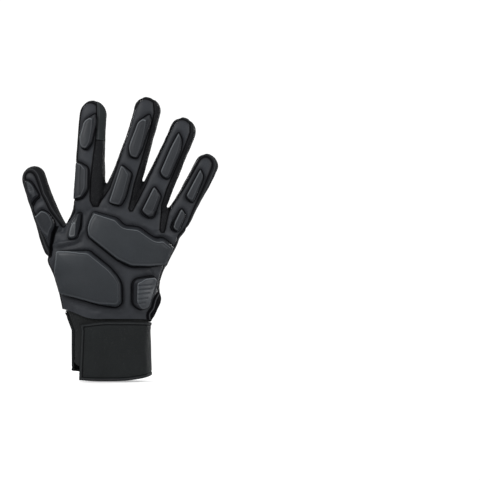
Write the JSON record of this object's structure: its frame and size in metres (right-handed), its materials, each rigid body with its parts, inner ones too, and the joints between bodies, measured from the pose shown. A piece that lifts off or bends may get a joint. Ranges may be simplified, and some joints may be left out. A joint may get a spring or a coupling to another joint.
{
  "type": "padded sports glove",
  "caption": "Full-finger padded glove for the right hand, with moulded pads on the back, grips on the palm and a strapped cuff.",
  "frame": {"origin": "centre of the cuff's mouth, where the wrist goes in, level with the strap's lowest edge", "axes": "+Z from the wrist to the fingertips, -Y out of the back of the hand, +Y out of the palm, -X to the thumb and +X to the little finger"},
  "size_m": [0.1872, 0.0564, 0.269],
  "materials": {
    "back": "matt grained synthetic leather, charcoal grey",
    "pad": "matt moulded synthetic leather over foam, grey",
    "palm": "soft black microfibre",
    "mesh": "black stretch mesh",
    "cuff": "black woven elastic",
    "grip": "glossy black silicone",
    "grip_base": "matt grey synthetic leather",
    "piping": "grey corded piping"
  },
  "bodies": {
    "root": {"back_panel": "back", "palm_panel": "palm", "thumb_front": "palm", "index_front": "palm", "middle_front": "palm", "ring_front": "palm", "little_front": "palm", "side_index_middle": "mesh", "side_middle_ring": "mesh", "side_ring_little": "mesh", "knuckle_pad": "pad", "hand_pad": "pad", "wrist_pad": "pad", "index_knuckle_pad": "pad", "thumb_tip_pad": "pad", "thumb_base_pad": "pad", "index_tip_pad": "pad", "index_base_pad": "pad", "middle_tip_pad": "pad", "middle_base_pad": "pad", "ring_tip_pad": "pad", "ring_base_pad": "pad", "little_tip_pad": "pad", "little_base_pad": "pad", "large_grip_base": "grip_base", "large_grip": "grip", "small_grip_base": "grip_base", "small_grip": "grip", "cuff_band": "cuff", "cuff_strap": "cuff", "wrist_piping": "piping"}
  },
  "joints": []
}
